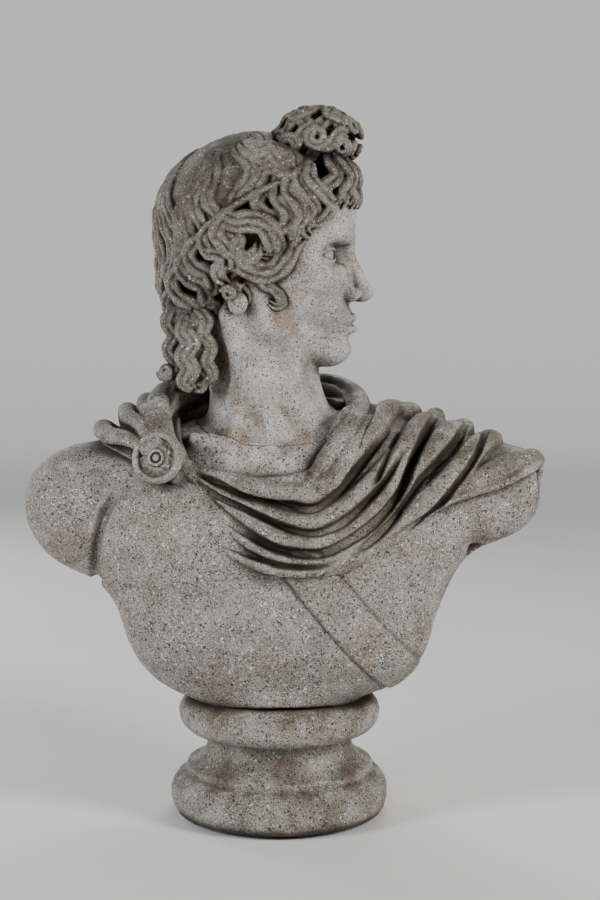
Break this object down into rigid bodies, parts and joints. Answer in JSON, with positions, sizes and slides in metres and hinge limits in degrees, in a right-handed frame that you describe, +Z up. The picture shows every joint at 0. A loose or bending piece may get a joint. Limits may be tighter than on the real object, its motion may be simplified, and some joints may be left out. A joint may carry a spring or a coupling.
{
  "type": "bust",
  "caption": "Draped classical portrait bust in granite-look cast stone, head turned to its left, cloak pinned with a round brooch, on a round moulded socle.",
  "frame": {"origin": "on the socle's axis at its flat resting plane", "axes": "+Z up, the chest faces -Y, +X towards the bust's own left arm, where the face looks"},
  "size_m": [0.5961, 0.2675, 0.814],
  "materials": {
    "socle": "weathered granite-look cast stone, brown in the hollows",
    "socle_joint_mortar": "lime mortar",
    "tie_rod": "stainless, dull",
    "rod_washer": "stainless, dull",
    "rod_nut": "stainless, dull",
    "rod_anchor_sleeve": "stainless, dull",
    "torso": "granite-look cast stone with black and white chips",
    "neck_joint_mortar": "lime mortar",
    "neck_dowel": "stainless, dull",
    "head": "granite-look cast stone, pale and finely speckled, with ochre stains",
    "hair": "granite-look cast stone, darkened by weather",
    "topknot": "granite-look cast stone, darkened by weather",
    "topknot_pin": "stainless, dull",
    "nape_lock_near": "granite-look cast stone, darkened by weather",
    "nape_lock_far": "granite-look cast stone, darkened by weather",
    "cloak": "granite-look cast stone, dark in the folds",
    "brooch": "granite-look cast stone",
    "brooch_pin": "stainless, dull"
  },
  "bodies": {
    "root": {"socle": "socle", "socle_joint_mortar": "socle_joint_mortar", "tie_rod": "tie_rod", "rod_washer": "rod_washer", "rod_nut": "rod_nut", "rod_anchor_sleeve": "rod_anchor_sleeve", "torso": "torso", "neck_joint_mortar": "neck_joint_mortar", "neck_dowel": "neck_dowel", "head": "head", "hair": "hair", "topknot": "topknot", "topknot_pin": "topknot_pin", "nape_lock_near": "nape_lock_near", "nape_lock_far": "nape_lock_far", "cloak": "cloak", "brooch": "brooch", "brooch_pin": "brooch_pin"}
  },
  "joints": []
}
